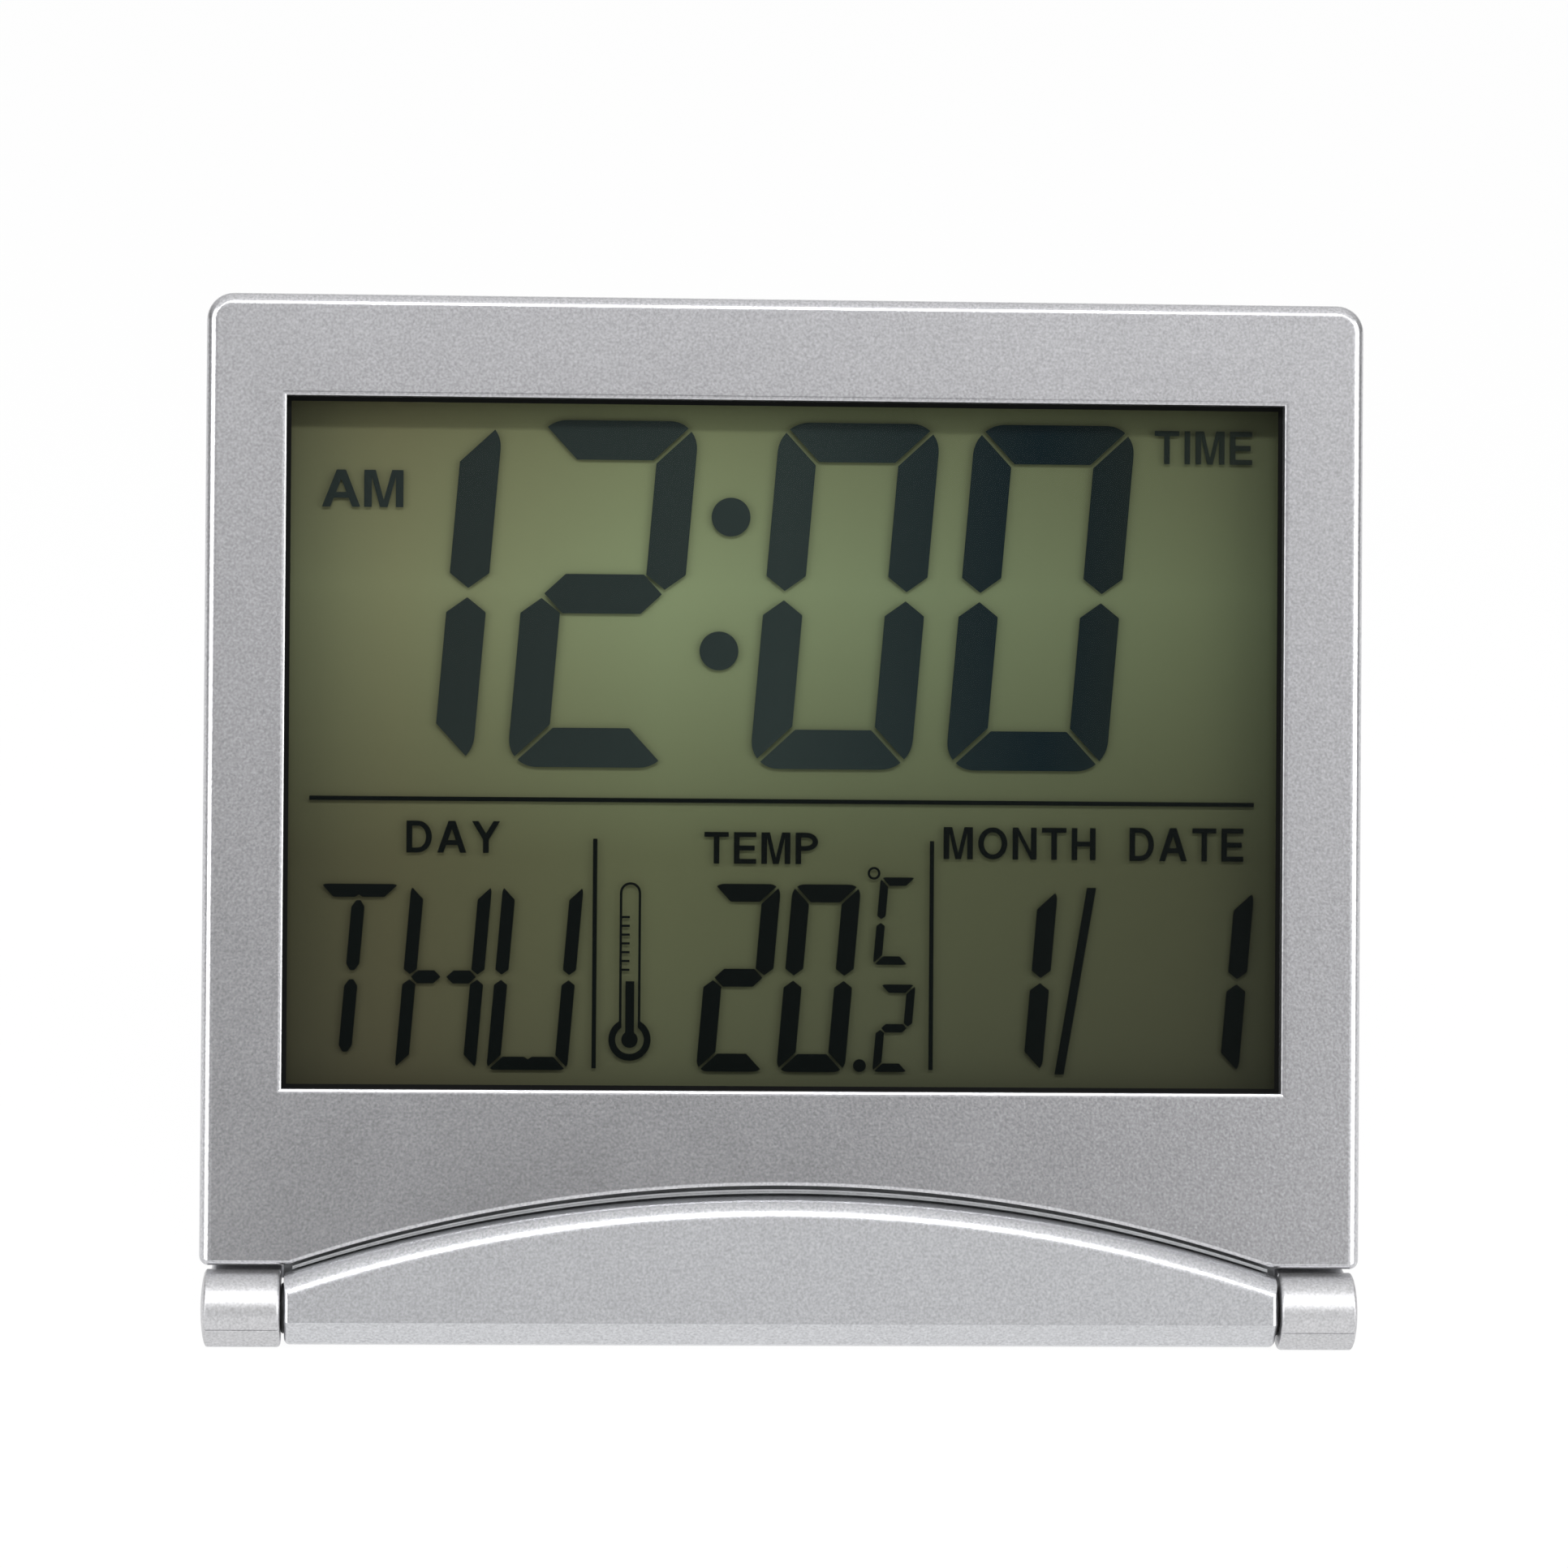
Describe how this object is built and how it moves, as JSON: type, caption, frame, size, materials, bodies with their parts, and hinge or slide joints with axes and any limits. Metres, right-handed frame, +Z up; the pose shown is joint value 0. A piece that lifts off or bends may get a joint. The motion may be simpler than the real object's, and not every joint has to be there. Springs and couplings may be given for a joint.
{
  "type": "digital alarm clock",
  "caption": "Folding LCD alarm clock with a silver case, an arched hinge block under the display and a flip cover that swings behind the case to become its stand.",
  "frame": {"origin": "middle of the footprint, on the table that the open clock stands on", "axes": "+Z up, +X to the viewer's right, the display faces -Y and leans back"},
  "size_m": [0.09, 0.0816, 0.0788],
  "materials": {
    "case_silver": "moulded plastic with fine silver metallic paint, semi-matt",
    "block_silver": "moulded plastic with silver metallic paint, a little glossier",
    "clear_pane": "clear acrylic",
    "polariser_film": "grey-green polarising film",
    "lcd_glass": "thin clear glass",
    "reflector_green": "olive-grey reflective film",
    "black_plastic": "black",
    "black_rubber": "black silicone rubber",
    "board_green": "green circuit board",
    "steel": "plated steel",
    "cell_can": null,
    "brass": "plain",
    "ceramic": "fired ceramic",
    "black_sleeve": "black wire sleeve",
    "red_sleeve": "red wire sleeve"
  },
  "bodies": {
    "clock_body": {"front_bezel": "case_silver", "hinge_block": "block_silver", "rear_case": "case_silver", "hinge_pin_left": "steel", "hinge_pin_right": "steel", "display_lens": "clear_pane", "lcd_front_polariser": "polariser_film", "lcd_front_glass": "lcd_glass", "lcd_rear_glass": "lcd_glass", "lcd_reflector": "reflector_green", "lcd_tray": "black_plastic", "zebra_strip": "black_rubber", "main_board": "board_green", "controller_blob": "black_plastic", "quartz_crystal": "steel", "thermistor": "black_plastic", "mode_dome": "black_rubber", "set_dome": "black_rubber", "up_dome": "black_rubber", "down_dome": "black_rubber", "coin_cell": "cell_can", "cell_contact_negative": "steel", "cell_contact_positive": "steel", "piezo_plate": "brass", "piezo_ceramic": "ceramic", "piezo_lead_plate": "black_sleeve", "piezo_lead_ceramic": "red_sleeve", "board_screw_1": "steel", "board_screw_2": "steel", "board_screw_3": "steel", "board_screw_4": "steel", "case_screw_left": "steel", "case_screw_right": "steel", "tray_screw_left": "steel", "tray_screw_right": "steel", "block_screw_left": "steel", "block_screw_right": "steel"},
    "cover": {"flip_cover": "case_silver"},
    "mode_key": {"mode_button": "case_silver"},
    "set_key": {"set_button": "case_silver"},
    "up_key": {"up_button": "case_silver"},
    "down_key": {"down_button": "case_silver"},
    "door": {"battery_door": "case_silver"}
  },
  "joints": [
    {"name": "cover_hinge", "type": "hinge", "parent": "clock_body", "child": "cover", "pos_m": [0, -0.03767, 0.00288], "axis": [-1, 0, 0], "range_deg": [0, 281.62]},
    {"name": "mode_press", "type": "slide", "parent": "clock_body", "child": "mode_key", "axis": [0, -0.9659, 0.2588], "range_m": [0, 0.0007], "stiffness_N_per_m": 800, "springref_m": -0.0005, "deforming": ["mode_dome"]},
    {"name": "set_press", "type": "slide", "parent": "clock_body", "child": "set_key", "axis": [0, -0.9659, 0.2588], "range_m": [0, 0.0007], "stiffness_N_per_m": 800, "springref_m": -0.0005, "deforming": ["set_dome"]},
    {"name": "up_press", "type": "slide", "parent": "clock_body", "child": "up_key", "axis": [0, -0.9659, 0.2588], "range_m": [0, 0.0007], "stiffness_N_per_m": 800, "springref_m": -0.0005, "deforming": ["up_dome"]},
    {"name": "down_press", "type": "slide", "parent": "clock_body", "child": "down_key", "axis": [0, -0.9659, 0.2588], "range_m": [0, 0.0007], "stiffness_N_per_m": 800, "springref_m": -0.0005, "deforming": ["down_dome"]},
    {"name": "battery_door_turn", "type": "hinge", "parent": "clock_body", "child": "door", "pos_m": [0.019, -0.02195, 0.02289], "axis": [0, 0.9659, -0.2588], "range_deg": [0, 45]}
  ]
}
